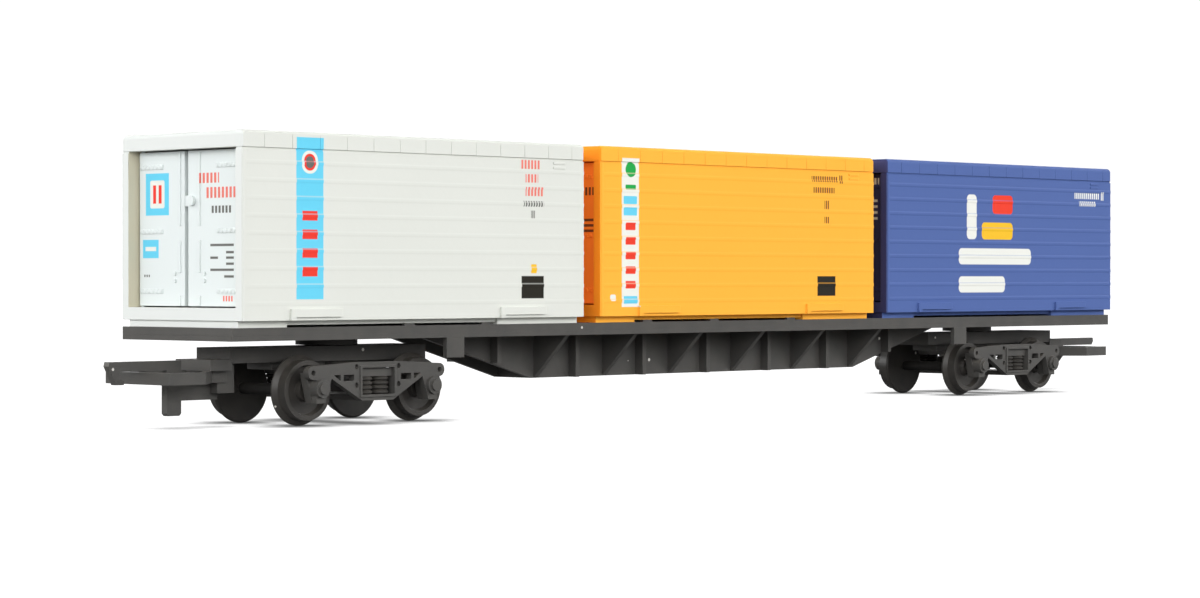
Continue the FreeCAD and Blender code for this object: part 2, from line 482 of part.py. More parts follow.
def coupling_hook(whole):
    """The hook's side view, (distance out, z): low arm with its eye, drop arm, high arm
    and barb. A damaged one has neither drop arm nor barb."""
    drop_out, soft = DROP_IN + DROP_WIDTH, 0.4
    low_top, arm_low = LOOP_LOW - TURN_GAP, HOOK_TOP - HOOK_ARM
    barb = LOOP_FRONT + BARB_GAP
    outline = [(PIVOT_X, low_top), (DROP_IN, low_top), (DROP_IN, HOOK_TOP),
               (HOOK_END - 0.2, HOOK_TOP), (HOOK_END, HOOK_TOP - 0.7)]
    if whole:
        outline += [(barb + BARB_FOOT, LOOP_LOW), (barb, LOOP_LOW), (barb, LOOP_LOW + 0.7),
                    (barb + 0.9, LOOP_LOW + 0.9), (barb + 0.9, arm_low), (drop_out, arm_low),
                    (drop_out, DROP_FOOT + soft), (drop_out - soft, DROP_FOOT),
                    (DROP_IN + soft, DROP_FOOT), (DROP_IN, DROP_FOOT + soft),
                    (DROP_IN, LOW_ARM_FOOT)]
    else:
        outline += [(HOOK_END - 0.6, arm_low), (drop_out, arm_low), (drop_out, low_top),
                    (DROP_IN - soft, LOW_ARM_FOOT)]
    outline.append((PIVOT_X, LOW_ARM_FOOT))
    arm = prism([(-out, z) for out, z in outline], Y, -HOOK_HALF, 2 * HOOK_HALF)
    centre = V(-PIVOT_X, -HOOK_HALF, PIVOT_Z)
    eye = rod(EYE_R, centre, Y, 2 * HOOK_HALF)
    return fuse([arm, eye]).cut(rod(PIVOT_R + RUN_FIT, centre, Y, 2 * HOOK_HALF))


def placed(shape, turn, x, z=0.0):
    """A copy turned about Z by `turn` degrees, then moved along X and Z."""
    copy = shape.copy()
    copy.rotate(V(0, 0, 0), Z, turn)
    copy.translate(V(x, 0, z))
    return copy


def build():
    parts = {"deck": deck(), "centre_sill": centre_sill(),
             "web_plates_near": web_plates(-1), "web_plates_far": web_plates(1)}

    container = {"shell": container_shell(), "roof": container_roof(),
                 "plinth": container_plinth(), "door_near": door_leaf(-1),
                 "door_far": door_leaf(1)}
    for i, colour in enumerate(BOX_COLOURS):
        for name, shape in container.items():
            parts[f"{colour}_container_{name}"] = placed(shape, 0, box_start(i), BOX_FLOOR)

    for i, end in ((1, -1), (2, 1)):
        x, turn = end * (DECK_LENGTH / 2 - BOGIE_INSET), 0 if end < 0 else 180
        bogie = {"frame": bogie_frame(), "loop": coupling_loop(),
                 "hook": coupling_hook(WHOLE[i - 1])}
        for side in (-1, 1):
            name = "far" if side * end < 0 else "near"
            bogie["side_" + name] = sideframe(side)
            bogie["springs_" + name] = springs(side)
        for name, shape in bogie.items():
            parts[f"bogie_{i}_{name}"] = placed(shape, turn, x)
        for name, place in (("outer", -1), ("inner", 1)):
            parts[f"wheelset_{i}_{name}"] = placed(wheelset(place * WHEELBASE / 2), turn, x)
        parts[f"pivot_{i}"] = pivot(x)
    return parts


os.makedirs("parts", exist_ok=True)
for node, shape in build().items():
    shape.exportStep(f"parts/{node}.step")
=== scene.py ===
"""Finishes, prints, small fittings and stage of the model container flat wagon."""

import math

import bpy
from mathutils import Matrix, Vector


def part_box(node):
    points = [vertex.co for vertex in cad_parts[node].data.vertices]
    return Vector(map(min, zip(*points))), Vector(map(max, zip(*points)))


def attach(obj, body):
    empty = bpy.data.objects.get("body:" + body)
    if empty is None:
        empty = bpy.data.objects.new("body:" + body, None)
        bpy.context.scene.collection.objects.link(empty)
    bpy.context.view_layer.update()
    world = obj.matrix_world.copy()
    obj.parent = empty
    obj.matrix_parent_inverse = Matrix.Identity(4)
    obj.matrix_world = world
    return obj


bl_info = {
    "name": "Container Flat Wagon Finishes",
    "version": (1, 1, 0),
    "blender": (4, 5, 0),
    "location": "3D View > Sidebar > Wagon",
    "description": "Finishes the packed model wagon and sets its studio stage",
    "category": "Object",
}

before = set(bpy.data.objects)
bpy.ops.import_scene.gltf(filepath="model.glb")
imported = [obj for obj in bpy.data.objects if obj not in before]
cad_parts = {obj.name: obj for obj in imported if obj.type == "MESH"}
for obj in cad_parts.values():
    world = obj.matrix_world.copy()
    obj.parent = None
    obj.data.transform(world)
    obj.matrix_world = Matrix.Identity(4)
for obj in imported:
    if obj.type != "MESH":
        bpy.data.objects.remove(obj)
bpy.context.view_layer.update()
MM = 0.001

CONTAINERS = ("white", "orange", "blue")
DOORS = {"near": -1, "far": 1}           # each leaf's side of the wagon

# Sizes in mm. Heights on a container count from its walls' underside.
FACE = 15.4                              # printed sides lie further out than this
DOOR_FRONT = 2.1                         # printed doors lie nearer to the door end than this
END_DEPTH = 4.0                          # painted light and shade at the door end reach this far in
INNER_FACE = 5.0                         # the recess's inner faces lie further out than this, and take painted shade
BEAD_TOP, BEAD_PITCH = 26.53, 2.91       # the highest bead, and the step to the next
EDGE_CREST, EDGE_WEAR = 0.25, 0.35       # a bead's upper edge, and how much print it lost
STRAP_FRONT = 1.75                       # a door strap's front, from the door end
STRAP_LEVELS = (4.85, 14.88, 25.75)      # a door's three straps
AXLE_HALF = 7.0                          # half the length of axle between the wheels
GRAIN_RELIEF = 0.04                      # depth of the plastic's grain
BLUR = 0.12                              # soft edge of a print

# Finishes. A ramp is the gain and offset of a mask that is clamped between 0 and 1.
SOFTENING = {"white": 0.85, "orange": 0.75, "blue": 0.4}    # how faint the beads look
DOOR_PAINTED_GLOW = {"orange": 0.14}             # painted glow on the orange doors, lifting their shaded red
BOX_GLOSS = 0.03                         # the containers' plastic is nearly matt
UPRIGHT_RAMP = (12.0, -9.4)              # a side wall's faces, by their normal's Y
EDGE_RAMP, WORN_RAMP = (3.0, -0.75), (3.0, -1.1)            # rubbed edges with painted edge highlight, and their patches
CLOUD_RAMP = (3.0, -0.9)                 # patches of dust
TONE_PATCHES, WORN_PATCHES, DUST_CLOUDS = 45, 420, 260      # noise scales
GRAIN_SWING = 0.12                       # change of roughness over the grain
SPECK_CELLS, SPECK_SIZE, SPECK_RARITY = 210, 0.065, 0.55    # light crumbs on the black parts
SPECK_COLOUR = (0.62, 0.60, 0.56, 1)
STROKE_SHARE = 0.6                       # ink's share of each stroke's step
AXLE_DULLNESS, AXLE_PAINTED_SHADE = 0.5, 0.7     # the axle's added roughness, and the painted shade that darkens it deep in the bogie

# Prints: ink, from and to along the face, from and to in height, corner radius, and the
# spacing of its strokes where a block is broken into them. Along a side counts from the
# door end, and across the doors from the middle.
SIDE_PRINTS = {
    "white": (
        ("sky", 11.6, 17.5, 3.5, 30.4, 0),
        ("paper", 12.8, 16.3, 24.4, 28.2, 1.6), ("red", 13.3, 15.8, 24.9, 27.7, 1.2),
        ("grey", 13.7, 15.4, 25.3, 27.3, 0.8),
        ("red", 12.9, 16.2, 16.6, 18.2, 0), ("red", 12.9, 16.2, 13.5, 15.1, 0),
        ("red", 12.9, 16.2, 10.4, 12.0, 0), ("red", 12.9, 16.2, 7.3, 8.9, 0),
        ("rose", 63.7, 68.6, 26.5, 28.1, 0, 0.82), ("rose", 65.0, 68.2, 24.1, 25.6, 0, 0.82),
        ("rose", 65.0, 69.4, 21.7, 23.3, 0, 0.82), ("grey", 64.5, 69.6, 19.8, 20.8, 0, 0.65),
        ("grey", 66.3, 67.5, 17.7, 19.1, 0, 0.5),
        ("yellow", 66.4, 67.8, 7.9, 9.5, 0.2), ("black", 64.0, 69.6, 3.4, 7.4, 0)),
    "orange": (
        ("paper", 5.8, 10.4, 1.7, 29.2, 0),
        ("green", 6.8, 9.6, 25.7, 28.5, 1.4), ("green", 6.8, 9.6, 23.4, 24.3, 0.2),
        ("sky", 6.3, 9.9, 20.7, 22.2, 0.2), ("sky", 6.3, 9.9, 18.6, 20.1, 0.2),
        ("scarlet", 6.8, 9.5, 15.9, 17.3, 0.2), ("scarlet", 6.8, 9.5, 13.2, 14.6, 0.2),
        ("scarlet", 6.8, 9.5, 10.5, 11.9, 0.2), ("scarlet", 6.8, 9.5, 7.8, 9.2, 0.2),
        ("scarlet", 6.8, 9.5, 5.1, 6.5, 0.2), ("sky", 6.3, 10.0, 2.3, 3.7, 0.2),
        ("paper", 2.7, 4.2, 2.8, 4.0, 0.4),
        ("umber", 60.4, 68.4, 26.1, 27.2, 0, 0.7), ("umber", 68.9, 70.0, 25.9, 27.5, 0, 0.6),
        ("umber", 61.0, 67.5, 23.9, 25.0, 0, 0.7), ("umber", 64.4, 65.9, 20.7, 22.4, 0, 0.6),
        ("umber", 64.4, 65.9, 17.9, 19.2, 0, 0.6), ("black", 62.2, 67.8, 3.5, 7.4, 0)),
    "blue": (
        ("paper", 27.0, 30.4, 15.2, 24.6, 1.0), ("yellow", 32.2, 43.2, 15.2, 18.8, 1.0),
        ("scarlet", 36.0, 43.2, 20.6, 24.6, 1.0),
        ("paper", 24.2, 49.8, 9.9, 13.3, 1.0), ("paper", 24.2, 40.4, 4.0, 7.4, 1.0),
        ("paper", 66.1, 75.4, 24.4, 25.7, 0, 0.75), ("paper", 76.1, 77.2, 24.2, 26.0, 0, 0.6),
        ("paper", 67.8, 74.1, 22.8, 23.9, 0, 0.75)),
}
DOOR_PRINTS = {
    "white": (
        ("sky", 5.6, 11.9, 17.6, 24.7, 0), ("paper", 6.8, 10.7, 18.8, 23.5, 0.4),
        ("red", 7.6, 8.4, 19.6, 22.7, 0), ("red", 9.1, 9.9, 19.6, 22.7, 0),
        ("sky", 8.4, 12.7, 10.4, 13.5, 0), ("paper", 9.1, 12.0, 11.6, 12.3, 0),
        ("grey", 10.8, 12.4, 7.2, 7.6, 0, 0.6),
        ("rose", -7.7, -2.7, 22.8, 24.5, 0, 1.0), ("rose", -12.3, -4.2, 20.3, 22.1, 0, 1.0),
        ("grey", -11.0, -5.5, 17.8, 19.0, 0, 0.9), ("grey", -11.5, -5.4, 12.3, 12.7, 0),
        ("grey", -11.5, -9.5, 11.1, 11.5, 0), ("grey", -7.4, -5.4, 10.2, 10.6, 0),
        ("grey", -11.5, -9.5, 10.2, 10.6, 0), ("grey", -11.5, -9.5, 9.2, 9.6, 0),
        ("grey", -11.5, -5.4, 8.2, 8.6, 0), ("grey", -11.5, -9.0, 7.1, 7.5, 0),
        ("rose", -11.3, -8.7, 3.2, 4.1, 0, 0.7)),
    "orange": (
        ("umber", -12.9, -6.0, 22.3, 23.8, 0, 0.9), ("umber", -12.4, -8.0, 17.5, 18.0, 0),
        ("umber", -12.4, -7.0, 16.5, 17.0, 0), ("umber", -12.4, -8.6, 15.5, 16.0, 0)),
    "blue": (
        ("paper", -12.4, -6.0, 26.2, 27.5, 0, 0.9), ("paper", -12.0, -5.4, 19.0, 19.5, 0),
        ("paper", -12.0, -8.4, 20.2, 20.7, 0), ("paper", -12.0, -7.0, 21.4, 21.9, 0),
        ("paper", -12.0, -9.0, 22.6, 23.1, 0)),
}

# Underframe finishes: roughness, drift of tone, gloss, level of dust, wear of edges with
# painted edge highlight.
BLACK_FINISHES = {
    "underframe": (0.42, 0.25, 0.12, 0.3, 1.0),
    "wheels": (0.32, 0.1, 0.3, 0.12, 0.0),
    "springs": (0.5, 0.1, 0.15, 0.1, 0.0),
}


# ---------------------------------------------------------------- properties
def colour_property(name, description, value):
    return bpy.props.FloatVectorProperty(
        name=name, description=description, subtype="COLOR", size=3, default=value)


class WagonColours(bpy.types.PropertyGroup):
    """Colours of the mouldings, some of them painted light and shade at the door ends"""

    white: colour_property("White box", "First container", (0.69, 0.705, 0.66))
    # painted light: a lighter, bluer white on the door end's outward faces
    white_end: colour_property("White end", "Door end of the first container",
                               (0.72, 0.745, 0.725))
    # painted shade: a warm, darker white on the inner faces beside the doors
    white_recess: colour_property("White recess", "Inner faces beside the first doors",
                                  (0.62, 0.58, 0.45))
    white_door: colour_property("White doors", "Doors of the first container",
                                (0.72, 0.77, 0.765))
    orange: colour_property("Orange box", "Middle container", (0.97, 0.45, 0.053))
    # painted shade: a darker, redder orange on the door end's outward faces
    orange_end: colour_property("Orange end", "Door end of the middle container",
                                (1.0, 0.30, 0.02))
    # painted shade: a darker, redder orange for the doors, which stand in shade, brightened
    # further by a painted glow
    orange_door: colour_property("Orange doors", "Doors of the middle container",
                                 (1.0, 0.24, 0.028))
    blue: colour_property("Blue box", "Last container", (0.085, 0.137, 0.355))
    # painted shade: a darker blue on the door end's outward faces, also used for the blue
    # doors
    blue_end: colour_property("Blue end", "Door end of the last container",
                              (0.046, 0.049, 0.13))
    black: colour_property("Underframe", "Deck, sill and bogies", (0.071, 0.0695, 0.0665))
    wheel: colour_property("Wheels", "Wheels and axles", (0.034, 0.032, 0.030))
    # partly wear, partly painted edge highlight on the black parts' edges
    rubbed: colour_property("Rubbed edges", "Edges of the black parts", (0.16, 0.155, 0.15))
    dust: colour_property("Dust", "Dust on the black parts", (0.30, 0.27, 0.22))


class PrintInks(bpy.types.PropertyGroup):
    """Inks of the prints"""

    paper: colour_property("White ink", "Panels and bars", (0.78, 0.79, 0.74))
    sky: colour_property("Sky blue ink", "Stripe and plates", (0.14, 0.60, 0.815))
    red: colour_property("Red ink", "Bars on the stripe and the white doors",
                         (0.80, 0.05, 0.035))
    rose: colour_property("Pale red ink", "Fine rows on white", (0.78, 0.20, 0.16))
    scarlet: colour_property("Scarlet ink", "Bars on orange and blue", (0.80, 0.055, 0.03))
    yellow: colour_property("Yellow ink", "Plates and bars", (0.85, 0.50, 0.03))
    green: colour_property("Green ink", "Disc on the white panel", (0.02, 0.36, 0.07))
    umber: colour_property("Brown ink", "Fine rows on orange", (0.16, 0.06, 0.02))
    grey: colour_property("Grey ink", "Fine rows on white", (0.15, 0.15, 0.14))
    black: colour_property("Black ink", "Square patches", (0.026, 0.024, 0.019))


class RivetSizes(bpy.types.PropertyGroup):
    """Rivets on the doors' hinge straps"""

    count: bpy.props.IntProperty(
        name="Count", description="Rivets on each strap", default=6, min=2)
    radius: bpy.props.FloatProperty(
        name="Radius", description="Radius of a rivet's head", subtype="DISTANCE",
        default=0.36 * MM)
    height: bpy.props.FloatProperty(
        name="Height", description="How far a head stands out", subtype="DISTANCE",
        default=0.13 * MM)
    start: bpy.props.FloatProperty(
        name="Start", description="First rivet's distance from the wagon's middle",
        subtype="DISTANCE", default=7.6 * MM)
    end: bpy.props.FloatProperty(
        name="End", description="Last rivet's distance from the wagon's middle",
        subtype="DISTANCE", default=12.9 * MM)


class StageSettings(bpy.types.PropertyGroup):
    """Camera and light"""

    camera_place: bpy.props.FloatVectorProperty(
        name="Camera place", description="Where the camera stands", subtype="TRANSLATION",
        unit="LENGTH", size=3, default=(-0.43514, -0.39493, 0.02503))
    camera_heading: bpy.props.FloatProperty(
        name="Heading", description="Direction of view, turned from +X toward +Y",
        subtype="ANGLE", default=math.radians(43.810))
    camera_tilt: bpy.props.FloatProperty(
        name="Tilt", description="Direction of view above the horizon",
        subtype="ANGLE", default=math.radians(-0.406))
    camera_lens: bpy.props.FloatProperty(
        name="Lens", description="Focal length on a 36 mm sensor, in millimetres",
        default=89.74)
    sky_low: bpy.props.FloatProperty(
        name="Light at the horizon", description="Brightness of the tent's foot",
        default=0.3)
    sky_high: bpy.props.FloatProperty(
        name="Light all round", description="Brightness of the tent's walls", default=4.75)
    sky_top: bpy.props.FloatProperty(
        name="Light overhead", description="Brightness of the tent's top", default=0.3)
    sky_steps: bpy.props.FloatVectorProperty(
        name="Light steps", size=3, default=(0.27, 0.36, 0.58),
        description="Heights, as sines, where the walls' light is full, fades and ends")
    floor_tone: bpy.props.FloatProperty(
        name="Floor", description="Lightness of the floor", default=0.25)
    floor_glow: bpy.props.FloatProperty(
        name="Floor glow", description="Light that the floor shows but does not cast",
        default=0.9)
    contact_reach: bpy.props.FloatProperty(
        name="Contact shade", description="Reach of the shade round what stands on the floor",
        subtype="DISTANCE", default=6.2 * MM)
    contact_depth: bpy.props.FloatProperty(
        name="Contact depth", description="How fast that shade deepens", default=3.5)
    floor_reach: bpy.props.FloatProperty(
        name="Floor reach", description="Half of the floor's width", subtype="DISTANCE",
        default=30.0)
    backdrop: bpy.props.FloatProperty(
        name="Backdrop", description="Brightness that the camera sees behind the wagon",
        default=1.05)


# -------------------------------------------------------------- node helpers
def link(tree, output, node, key):
    tree.links.new(output, node.inputs[key])


def wire(tree, node, values):
    """Set a node's inputs in order, each from an output or a plain value."""
    for socket, value in zip(node.inputs, values):
        if isinstance(value, bpy.types.NodeSocket):
            tree.links.new(value, socket)
        else:
            socket.default_value = value


def math_node(tree, operation, *values, clamp=False):
    node = tree.nodes.new("ShaderNodeMath")
    node.operation, node.use_clamp = operation, clamp
    wire(tree, node, values)
    return node.outputs[0]


def vector_node(tree, operation, *values):
    node = tree.nodes.new("ShaderNodeVectorMath")
    node.operation = operation
    wire(tree, node, values)
    return node.outputs["Value" if operation == "LENGTH" else "Vector"]


def split(tree, vector):
    node = tree.nodes.new("ShaderNodeSeparateXYZ")
    tree.links.new(vector, node.inputs[0])
    return node.outputs


def noise(tree, vector, scale, detail):
    node = tree.nodes.new("ShaderNodeTexNoise")
    node.inputs["Detail"].default_value = detail
    tree.links.new(vector, node.inputs["Vector"])
    if isinstance(scale, bpy.types.NodeSocket):
        tree.links.new(scale, node.inputs["Scale"])
    else:
        node.inputs["Scale"].default_value = scale
    return node.outputs["Fac"]


def mix(tree, factor, under, over):
    """Mix two colours; a Mix node takes them on its sockets 6 and 7."""
    node = tree.nodes.new("ShaderNodeMix")
    node.data_type = "RGBA"
    for key, value in ((0, factor), (6, under), (7, over)):
        if isinstance(value, bpy.types.NodeSocket):
            tree.links.new(value, node.inputs[key])
        else:
            node.inputs[key].default_value = value
    return node.outputs[2]


def new_group(name, inputs, outputs, kind="ShaderNodeTree"):
    """An empty node group with sockets of (name, type, value), and its two end nodes."""
    group = bpy.data.node_groups.new(name, kind)
    for side, sockets in (("INPUT", inputs), ("OUTPUT", outputs)):
        for label, socket_type, *value in sockets:
            socket = group.interface.new_socket(
                label, in_out=side, socket_type="NodeSocket" + socket_type)
            if value:
                socket.default_value = value[0]
    return group, group.nodes.new("NodeGroupInput"), group.nodes.new("NodeGroupOutput")


def place_group(tree, group, **values):
    """A group's node in a tree; underscores in the value names stand for spaces."""
    node = tree.nodes.new("ShaderNodeGroup")
    node.node_tree = group
    for key, value in values.items():
        socket = node.inputs[key.replace("_", " ")]
        if isinstance(value, bpy.types.NodeSocket):
            tree.links.new(value, socket)
        else:
            socket.default_value = value
    return node


# -------------------------------------------------------- shader node groups
def moulded_plastic():
    """Moulded plastic: faint tone drift, fine grain in roughness and relief, soft edges."""
    group, start, end = new_group(
        "Moulded Plastic",
        (("Colour", "Color", (0.5, 0.5, 0.5, 1)), ("Drift", "Float", 0.05),
         ("Grain Scale", "Float", 900.0), ("Grain", "Float", 0.25),
         ("Roughness", "Float", 0.4), ("Edge", "Float", 0.1 * MM),
         ("Softening", "Float", 0.0)),
        (("Colour", "Color"), ("Roughness", "Float"), ("Normal", "Vector"),
         ("On Edge", "Float")))
    place = group.nodes.new("ShaderNodeTexCoord").outputs["Object"]
    flow = noise(group, place, TONE_PATCHES, 3)
    grain = noise(group, place, start.outputs["Grain Scale"], 2)
    tone = math_node(group, "MULTIPLY", math_node(group, "SUBTRACT", flow, 0.5),
                     start.outputs["Drift"])
    shade = group.nodes.new("ShaderNodeHueSaturation")
    link(group, start.outputs["Colour"], shade, "Color")
    link(group, math_node(group, "ADD", tone, 1.0), shade, "Value")
    rough = math_node(group, "MULTIPLY_ADD", math_node(group, "SUBTRACT", grain, 0.5),
                      GRAIN_SWING, start.outputs["Roughness"])
    soft = group.nodes.new("ShaderNodeBevel")
    soft.samples = 4
    link(group, start.outputs["Edge"], soft, "Radius")
    bump = group.nodes.new("ShaderNodeBump")
    bump.inputs["Distance"].default_value = GRAIN_RELIEF * MM
    link(group, grain, bump, "Height")
    link(group, start.outputs["Grain"], bump, "Strength")
    link(group, soften(group, soft.outputs["Normal"], start.outputs["Softening"]), bump,
         "Normal")
    flat = group.nodes.new("ShaderNodeNewGeometry").outputs["Normal"]
    # a mask of the edges, lightened on the black parts as wear and painted edge highlight
    turned = vector_node(group, "LENGTH", vector_node(
        group, "SUBTRACT", soft.outputs["Normal"], flat))
    rub_and_sheen = math_node(group, "MULTIPLY_ADD", turned, *EDGE_RAMP, clamp=True)
    worn = math_node(group, "MULTIPLY_ADD", noise(group, place, WORN_PATCHES, 3),
                     *WORN_RAMP, clamp=True)
    link(group, math_node(group, "MULTIPLY", rub_and_sheen, worn), end, "On Edge")
    link(group, shade.outputs["Color"], end, "Colour")
    link(group, rough, end, "Roughness")
    link(group, bump.outputs["Normal"], end, "Normal")
    return group


def soften(group, normal, amount):
    """Lay the shallow slopes of a side wall's beads flatter by an amount."""
    x, y, z = split(group, normal)
    upright = math_node(group, "MULTIPLY_ADD", math_node(group, "ABSOLUTE", y),
                        *UPRIGHT_RAMP, clamp=True)
    keep = math_node(group, "SUBTRACT", 1.0, math_node(group, "MULTIPLY", upright, amount))
    flat = group.nodes.new("ShaderNodeCombineXYZ")
    wire(group, flat, (x, y, math_node(group, "MULTIPLY", z, keep)))
    return vector_node(group, "NORMALIZE", flat.outputs[0])


def dust_film():
    """Dust in thin clouds, most on faces that look up, and a few light specks."""
    group, start, end = new_group(
        "Dust Film",
        (("Under", "Color", (0.1, 0.1, 0.1, 1)), ("Dust", "Color", (0.3, 0.3, 0.3, 1)),
         ("Level", "Float", 0.2), ("Rising", "Float", 0.05)),
        (("Colour", "Color"),))
    place = group.nodes.new("ShaderNodeTexCoord").outputs["Object"]
    cloud = noise(group, place, DUST_CLOUDS, 4)
    facing = split(group, group.nodes.new("ShaderNodeNewGeometry").outputs["Normal"])["Z"]
    settle = math_node(group, "MULTIPLY", math_node(group, "MAXIMUM", facing, 0.0),
                       start.outputs["Level"])
    settle = math_node(group, "ADD", settle, start.outputs["Rising"])
    amount = math_node(group, "MULTIPLY", settle, math_node(
        group, "MULTIPLY_ADD", cloud, *CLOUD_RAMP, clamp=True), clamp=True)
    dusted = mix(group, amount, start.outputs["Under"], start.outputs["Dust"])
    crumbs = group.nodes.new("ShaderNodeTexVoronoi")
    link(group, place, crumbs, "Vector")
    crumbs.inputs["Scale"].default_value = SPECK_CELLS
    small = math_node(group, "LESS_THAN", crumbs.outputs["Distance"], SPECK_SIZE)
    chosen = math_node(group, "GREATER_THAN", split(group, crumbs.outputs["Color"])["X"],
                       SPECK_RARITY)
    speck = math_node(group, "MULTIPLY", small, chosen)
    link(group, mix(group, speck, dusted, SPECK_COLOUR), end, "Colour")
    return group


def container_places():
    """A point's place in mm on a container's sides and doors, and masks of those faces."""
    group, start, end = new_group(
        "Container Places", (("Corner", "Vector", (0, 0, 0)),),
        (("Side", "Vector"), ("Door", "Vector"), ("On Side", "Float"), ("On Door", "Float")))
    place = group.nodes.new("ShaderNodeTexCoord").outputs["Object"]
    place = vector_node(group, "SUBTRACT", place, start.outputs["Corner"])
    x, y, z = split(group, vector_node(group, "MULTIPLY", place, (1 / MM, 1 / MM, 1 / MM)))
    for name, along in (("Side", x), ("Door", y)):
        flat = group.nodes.new("ShaderNodeCombineXYZ")
        link(group, along, flat, "X")
        link(group, z, flat, "Y")
        link(group, flat.outputs[0], end, name)
    below = math_node(group, "DIVIDE", math_node(group, "SUBTRACT", BEAD_TOP, z), BEAD_PITCH)
    bare = math_node(group, "LESS_THAN", math_node(group, "FRACT", below),
                     EDGE_CREST / BEAD_PITCH)
    beaded = math_node(group, "MULTIPLY", bare, math_node(group, "GREATER_THAN", below, 0.0))
    covered = math_node(group, "MULTIPLY_ADD", beaded, -EDGE_WEAR, 1.0)
    out = math_node(group, "GREATER_THAN", math_node(group, "ABSOLUTE", y), FACE)
    link(group, math_node(group, "MULTIPLY", out, covered), end, "On Side")
    link(group, math_node(group, "LESS_THAN", x, DOOR_FRONT), end, "On Door")
    return group


def printed_block():
    """One plain printed block with round corners, whole or in strokes, over a colour."""
    group, start, end = new_group(
        "Printed Block",
        (("Under", "Color", (1, 1, 1, 1)), ("Ink", "Color", (0, 0, 0, 1)),
         ("Place", "Vector", (0, 0, 0)), ("Face", "Float", 1.0),
         ("Centre", "Vector", (0, 0, 0)), ("Half Size", "Vector", (1, 1, 0)),
         ("Corner", "Float", 0.0), ("Strokes", "Float", 0.0), ("Blur", "Float", BLUR)),
        (("Colour", "Color"),))
    away = vector_node(group, "ABSOLUTE", vector_node(
        group, "SUBTRACT", start.outputs["Place"], start.outputs["Centre"]))
    away = vector_node(group, "SUBTRACT", away, start.outputs["Half Size"])
    beyond = vector_node(group, "LENGTH", vector_node(group, "MAXIMUM", away, (0, 0, 0)))
    x, y, _ = split(group, away)
    within = math_node(group, "MINIMUM", math_node(group, "MAXIMUM", x, y), 0.0)
    distance = math_node(group, "SUBTRACT", math_node(group, "ADD", beyond, within),
                         start.outputs["Corner"])
    cover = math_node(group, "SUBTRACT", 0.5, math_node(
        group, "DIVIDE", distance, start.outputs["Blur"]), clamp=True)
    cover = math_node(group, "MULTIPLY", cover, start.outputs["Face"])
    step = math_node(group, "DIVIDE", split(group, start.outputs["Place"])["X"],
                     math_node(group, "MAXIMUM", start.outputs["Strokes"], 0.001))
    stroke = math_node(group, "LESS_THAN", math_node(group, "FRACT", step), STROKE_SHARE)
    whole = math_node(group, "LESS_THAN", start.outputs["Strokes"], 0.01)
    cover = math_node(group, "MULTIPLY", cover, math_node(group, "MAXIMUM", stroke, whole))
    link(group, mix(group, cover, start.outputs["Under"], start.outputs["Ink"]),
         end, "Colour")
    return group


def shared(make):
    """A node group that is made once and then found again."""
    name = make.__name__.replace("_", " ").title()
    return bpy.data.node_groups.get(name) or make()


def plastic(name, colour, roughness=0.4, drift=0.05, grain=0.25, edge=0.1 * MM, gloss=0.5,
            end_lighting_colour=None, end_line=0.0, recess=None, softening=0.0, glow=0.0):
    """A moulded plastic of one colour, or with painted light and shade at the door end."""
    material = bpy.data.materials.new(name)
    material.use_nodes = True
    tree = material.node_tree
    shader = tree.nodes["Principled BSDF"]
    shader.inputs["Specular IOR Level"].default_value = gloss
    # glow is painted light: an emission on a part that is no lamp
    shader.inputs["Emission Strength"].default_value = glow
    skin = place_group(tree, shared(moulded_plastic), Colour=(*colour, 1), Drift=drift,
                       Roughness=roughness, Grain=grain, Edge=edge, Softening=softening)
    # painted light and shade: the end's outward faces take the end colour, lighter on white
    # and darker on orange and blue
    if end_lighting_colour:
        facing = split(tree, tree.nodes.new("ShaderNodeNewGeometry").outputs["Normal"])
        place = split(tree, tree.nodes.new("ShaderNodeTexCoord").outputs["Object"])
        at_end = math_node(tree, "LESS_THAN", place["X"], end_line)
        toward = math_node(tree, "MULTIPLY",
                           math_node(tree, "LESS_THAN", facing["X"], -0.5), at_end)
        tone = mix(tree, toward, (*colour, 1), (*end_lighting_colour, 1))
        # painted shade on the inner faces beside the doors
        if recess:
            recess_shade_mask = math_node(tree, "LESS_THAN", math_node(
                tree, "MULTIPLY", place["Y"], facing["Y"]), -INNER_FACE * MM)
            tone = mix(tree, math_node(tree, "MULTIPLY", recess_shade_mask, at_end), tone,
                       (*recess, 1))
        link(tree, tone, skin, "Colour")
    for output, key in (("Colour", "Base Color"), ("Roughness", "Roughness"),
                        ("Normal", "Normal")):
        link(tree, skin.outputs[output], shader, key)
    return material


def skin_of(material):
    """The moulded plastic group in a material."""
    return next(n for n in material.node_tree.nodes if n.type == "GROUP")


def add_prints(material, container, face, prints):
    """Lay a table of printed blocks over a container's plastic."""
    tree = material.node_tree
    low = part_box(f"{container}_container_shell")[0]
    places = place_group(tree, shared(container_places), Corner=(low[0], 0, low[2]))
    inks = bpy.context.scene.print_inks
    colour = skin_of(material).outputs["Colour"]
    for ink, left, right, bottom, top, corner, *strokes in prints:
        block = place_group(
            tree, shared(printed_block), Under=colour, Ink=(*getattr(inks, ink), 1),
            Place=places.outputs[face], Face=places.outputs["On " + face],
            Centre=((left + right) / 2, (bottom + top) / 2, 0), Corner=corner,
            Half_Size=((right - left) / 2 - corner, (top - bottom) / 2 - corner, 0),
            Strokes=sum(strokes))
        colour = block.outputs["Colour"]
    shader = tree.nodes["Principled BSDF"]
    link(tree, colour, shader, "Base Color")
    # the painted glow takes the colour of the plastic under its prints
    if shader.inputs["Emission Strength"].default_value:
        link(tree, colour, shader, "Emission Color")


def paint(node, material):
    """Give a node of the frame one material."""
    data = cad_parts[node].data
    data.materials.clear()
    data.materials.append(material)


